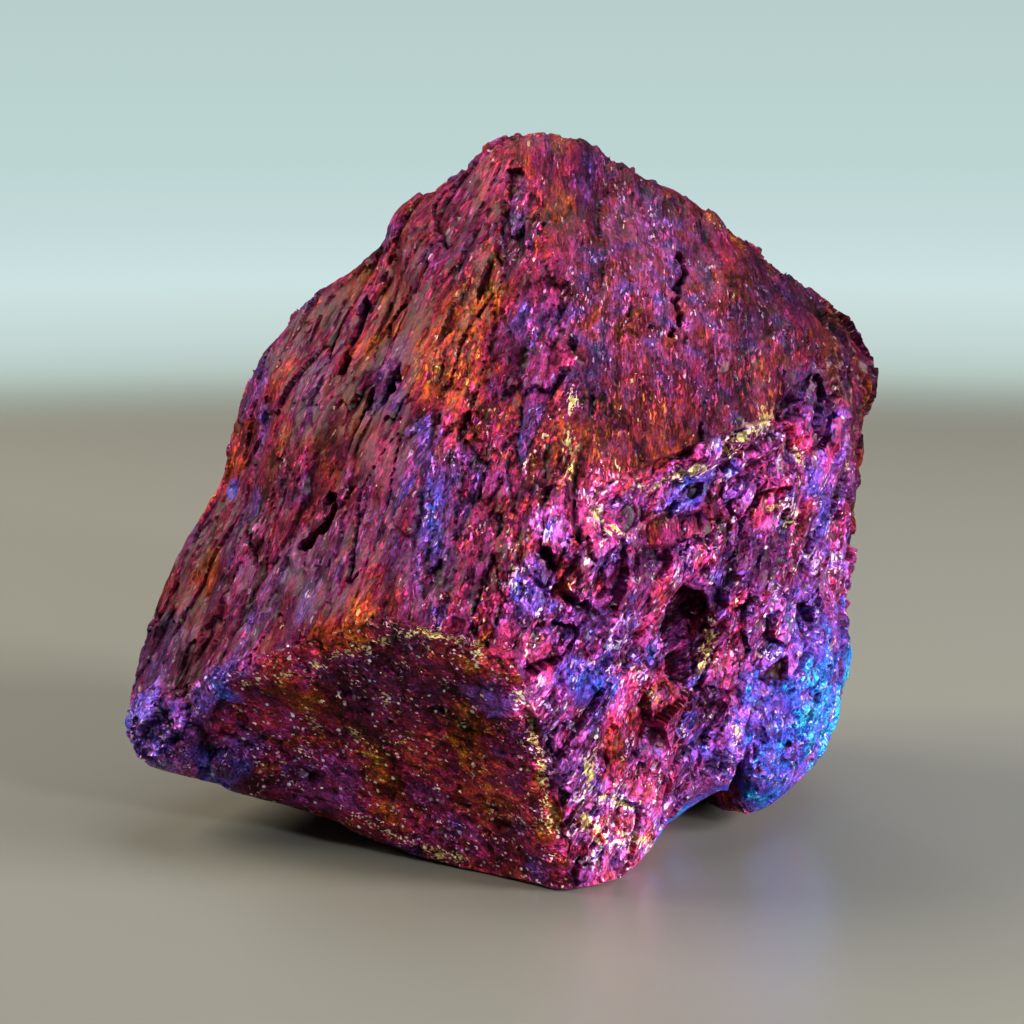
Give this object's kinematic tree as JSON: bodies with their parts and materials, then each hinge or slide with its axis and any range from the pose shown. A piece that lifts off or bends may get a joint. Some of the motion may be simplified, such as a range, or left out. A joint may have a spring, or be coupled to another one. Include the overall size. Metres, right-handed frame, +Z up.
{
  "type": "peacock ore",
  "caption": "Rough hand-sized chunk of iridescent peacock ore with broken, splintery faces; a display specimen that rests on a flat underside.",
  "frame": {"origin": "on the flat resting face, under the middle of the chunk", "axes": "+Z up as it rests, -Y towards the keel where the two front faces meet, +X towards the blue lobe and the right-hand knob"},
  "size_m": [0.0729, 0.0535, 0.0664],
  "materials": {
    "tarnished_chalcopyrite": "satin"
  },
  "bodies": {
    "root": {"peacock_ore": "tarnished_chalcopyrite"}
  },
  "joints": []
}
